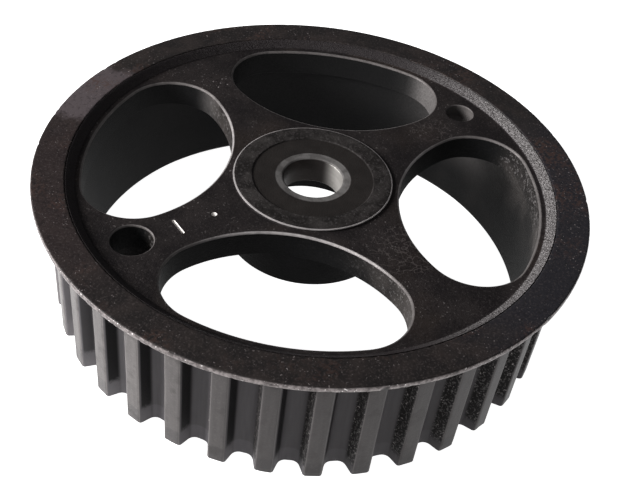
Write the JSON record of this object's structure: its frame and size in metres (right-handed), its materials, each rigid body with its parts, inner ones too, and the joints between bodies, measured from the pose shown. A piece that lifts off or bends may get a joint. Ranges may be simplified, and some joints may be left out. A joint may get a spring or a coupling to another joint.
{
  "type": "timing belt pulley",
  "caption": "Timing belt pulley with a toothed rim, a belt flange on its front, windows in its web, a hub bored for a centre bolt, and a timing pin hole.",
  "frame": {"origin": "on the pulley's axis, in the plane of the rear ends of the teeth", "axes": "+Z along the pulley's axis, towards the front with the belt flange; +X towards the right-hand window, with the timing hole at the lower left"},
  "size_m": [0.1142, 0.1142, 0.0306],
  "materials": {
    "sintered_steel": "steam-blackened sintered steel, matte and grainy, worn grey on the teeth",
    "flange_steel": "blackened sheet steel with brown heat tint and a worn bright edge"
  },
  "bodies": {
    "root": {"toothed_wheel": "sintered_steel", "belt_flange": "flange_steel"}
  },
  "joints": []
}
